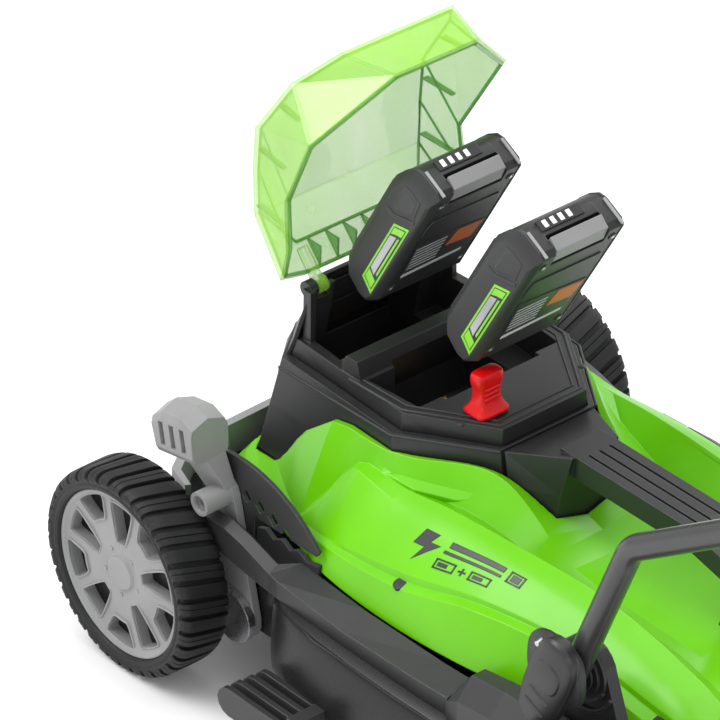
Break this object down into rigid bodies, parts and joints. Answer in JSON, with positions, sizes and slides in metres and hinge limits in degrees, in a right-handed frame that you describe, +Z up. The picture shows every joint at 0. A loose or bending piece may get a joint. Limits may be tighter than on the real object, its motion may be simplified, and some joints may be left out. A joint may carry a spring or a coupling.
{
  "type": "battery push lawn mower",
  "caption": "Cordless push lawn mower with an open clear battery lid, two lifted battery packs, height lever, safety key and folding bail handle.",
  "frame": {"origin": "on the ground under the middle of the mower's bounding box", "axes": "+X to the mower's right, +Y forward away from the handle, +Z up"},
  "size_m": [0.468, 1.251, 1.0173],
  "materials": {
    "deck_plastic": "dark grey moulded plastic",
    "black_plastic": "satin black moulded plastic",
    "grey_plastic": "light grey moulded plastic",
    "wheel_grey": "light grey moulded plastic",
    "green_plastic": "glossy green moulded plastic",
    "clear_green": "clear green tinted plastic",
    "red_plastic": "red moulded plastic",
    "tyre": "black moulded tread",
    "foam": "black foam",
    "black_tube": "black powder coat",
    "steel": "bright steel",
    "motor_metal": "dark painted metal",
    "contact_metal": "contact metal"
  },
  "bodies": {
    "chassis": {"deck_shell": "deck_plastic", "front_bumper": "grey_plastic", "deck_rail_left": "deck_plastic", "deck_rail_right": "deck_plastic", "rear_fender_left": "deck_plastic", "rear_fender_right": "deck_plastic", "grass_comb_left": "deck_plastic", "grass_comb_right": "deck_plastic", "handle_bracket_left": "black_plastic", "handle_bracket_right": "black_plastic", "height_quadrant": "deck_plastic", "motor_body": "motor_metal", "motor_controller": "motor_metal", "top_cover": "green_plastic", "battery_housing": "black_plastic", "housing_shroud": "black_plastic", "carry_handle": "black_plastic", "lid_hinge_pin_left": "steel", "lid_hinge_pin_right": "steel", "terminal_block_front": "contact_metal", "terminal_block_rear": "contact_metal", "key_socket": "black_plastic"},
    "lid": {"battery_lid": "clear_green"},
    "front_battery": {"battery_front_case": "black_plastic", "battery_front_rail": "black_plastic"},
    "rear_battery": {"battery_rear_case": "black_plastic", "battery_rear_rail": "black_plastic"},
    "front_battery_release": {"battery_front_button": "grey_plastic"},
    "rear_battery_release": {"battery_rear_button": "grey_plastic"},
    "key": {"safety_key": "red_plastic"},
    "blade_set": {"motor_shaft": "steel", "blade_adapter": "black_plastic", "blade": "steel", "blade_bolt": "steel"},
    "front_crank": {"front_axle": "steel", "height_lever": "grey_plastic", "lever_screw": "steel"},
    "rear_crank": {"rear_axle": "steel"},
    "height_link": {"link_rod": "steel"},
    "lower_handle": {"lower_handle_left": "black_tube", "lower_handle_right": "black_tube"},
    "upper_handle": {"upper_handle": "black_tube", "grip_sleeve": "foam", "switch_box": "black_plastic", "fold_knob_left": "black_plastic", "fold_knob_right": "black_plastic"},
    "start_button": {"start_button": "grey_plastic"},
    "bail": {"bail_lever": "red_plastic"},
    "left_cam_lever": {"cam_lever_left": "black_plastic"},
    "right_cam_lever": {"cam_lever_right": "black_plastic"},
    "discharge_flap": {"rear_flap": "black_plastic"},
    "front_left_wheel": {"front_wheel_left_tyre": "tyre", "front_wheel_left_rim": "wheel_grey"},
    "front_right_wheel": {"front_wheel_right_tyre": "tyre", "front_wheel_right_rim": "wheel_grey"},
    "rear_left_wheel": {"rear_wheel_left_tyre": "tyre", "rear_wheel_left_rim": "wheel_grey"},
    "rear_right_wheel": {"rear_wheel_right_tyre": "tyre", "rear_wheel_right_rim": "wheel_grey"}
  },
  "joints": [
    {"name": "lid_hinge", "type": "hinge", "parent": "chassis", "child": "lid", "pos_m": [0, 0.506, 0.284], "axis": [1, 0, 0], "range_deg": [0, 30]},
    {"name": "front_battery_slide", "type": "slide", "parent": "chassis", "child": "front_battery", "axis": [0, 0.4129, -0.9108], "range_m": [0, 0.115]},
    {"name": "rear_battery_slide", "type": "slide", "parent": "chassis", "child": "rear_battery", "axis": [0, 0.551, -0.8345], "range_m": [0, 0.129]},
    {"name": "front_battery_release_press", "type": "slide", "parent": "front_battery", "child": "front_battery_release", "axis": [0, 0.866, 0.5], "range_m": [0, 0.003], "stiffness_N_per_m": 600},
    {"name": "rear_battery_release_press", "type": "slide", "parent": "rear_battery", "child": "rear_battery_release", "axis": [0, 0.866, 0.5], "range_m": [0, 0.003], "stiffness_N_per_m": 600},
    {"name": "key_lift", "type": "slide", "parent": "chassis", "child": "key", "axis": [0, 0, 1], "range_m": [0, 0.005]},
    {"name": "blade_spin", "type": "hinge", "parent": "chassis", "child": "blade_set", "pos_m": [0, 0.273, 0.062], "axis": [0, 0, 1], "continuous": true},
    {"name": "front_crank_turn", "type": "hinge", "parent": "chassis", "child": "front_crank", "pos_m": [0, 0.475, 0.058], "axis": [1, 0, 0], "range_deg": [0, 34]},
    {"name": "rear_crank_turn", "type": "hinge", "parent": "chassis", "child": "rear_crank", "pos_m": [0, 0.005, 0.0655], "axis": [1, 0, 0], "range_deg": [0, 34]},
    {"name": "height_link_turn", "type": "hinge", "parent": "front_crank", "child": "height_link", "pos_m": [0.12, 0.491, 0.08571], "axis": [1, 0, 0], "range_deg": [-34, 0]},
    {"name": "lower_handle_fold", "type": "hinge", "parent": "chassis", "child": "lower_handle", "pos_m": [0, 0.111, 0.205], "axis": [1, 0, 0], "range_deg": [-30, 0]},
    {"name": "upper_handle_fold", "type": "hinge", "parent": "lower_handle", "child": "upper_handle", "pos_m": [0, -0.207, 0.512], "axis": [1, 0, 0], "range_deg": [-100, 0]},
    {"name": "start_button_press", "type": "slide", "parent": "upper_handle", "child": "start_button", "axis": [0, 1, 0], "range_m": [0, 0.005], "stiffness_N_per_m": 600},
    {"name": "bail_squeeze", "type": "hinge", "parent": "upper_handle", "child": "bail", "pos_m": [0, -0.55, 0.915], "axis": [1, 0, 0], "range_deg": [0, 15], "stiffness_Nm_per_rad": 2, "springref_deg": -8.59},
    {"name": "left_cam_lever_open", "type": "hinge", "parent": "lower_handle", "child": "left_cam_lever", "pos_m": [-0.174, 0.139, 0.205], "axis": [0, 0, -1], "range_deg": [0, 90]},
    {"name": "right_cam_lever_open", "type": "hinge", "parent": "lower_handle", "child": "right_cam_lever", "pos_m": [0.174, 0.139, 0.205], "axis": [0, 0, 1], "range_deg": [0, 90]},
    {"name": "discharge_flap_lift", "type": "hinge", "parent": "chassis", "child": "discharge_flap", "pos_m": [0, -0.012, 0.138], "axis": [1, 0, 0], "range_deg": [-80, 0], "stiffness_Nm_per_rad": 0.3},
    {"name": "front_left_wheel_spin", "type": "hinge", "parent": "front_crank", "child": "front_left_wheel", "pos_m": [-0.198, 0.543, 0.0825], "axis": [1, 0, 0], "continuous": true},
    {"name": "rear_left_wheel_spin", "type": "hinge", "parent": "rear_crank", "child": "rear_left_wheel", "pos_m": [-0.212, 0.073, 0.09], "axis": [1, 0, 0], "continuous": true},
    {"name": "front_right_wheel_spin", "type": "hinge", "parent": "front_crank", "child": "front_right_wheel", "pos_m": [0.198, 0.543, 0.0825], "axis": [1, 0, 0], "continuous": true},
    {"name": "rear_right_wheel_spin", "type": "hinge", "parent": "rear_crank", "child": "rear_right_wheel", "pos_m": [0.212, 0.073, 0.09], "axis": [1, 0, 0], "continuous": true}
  ],
  "couplings": [
    {"joint": "rear_crank_turn", "follows": "front_crank_turn", "ratio": 1},
    {"joint": "height_link_turn", "follows": "front_crank_turn", "ratio": -1}
  ]
}
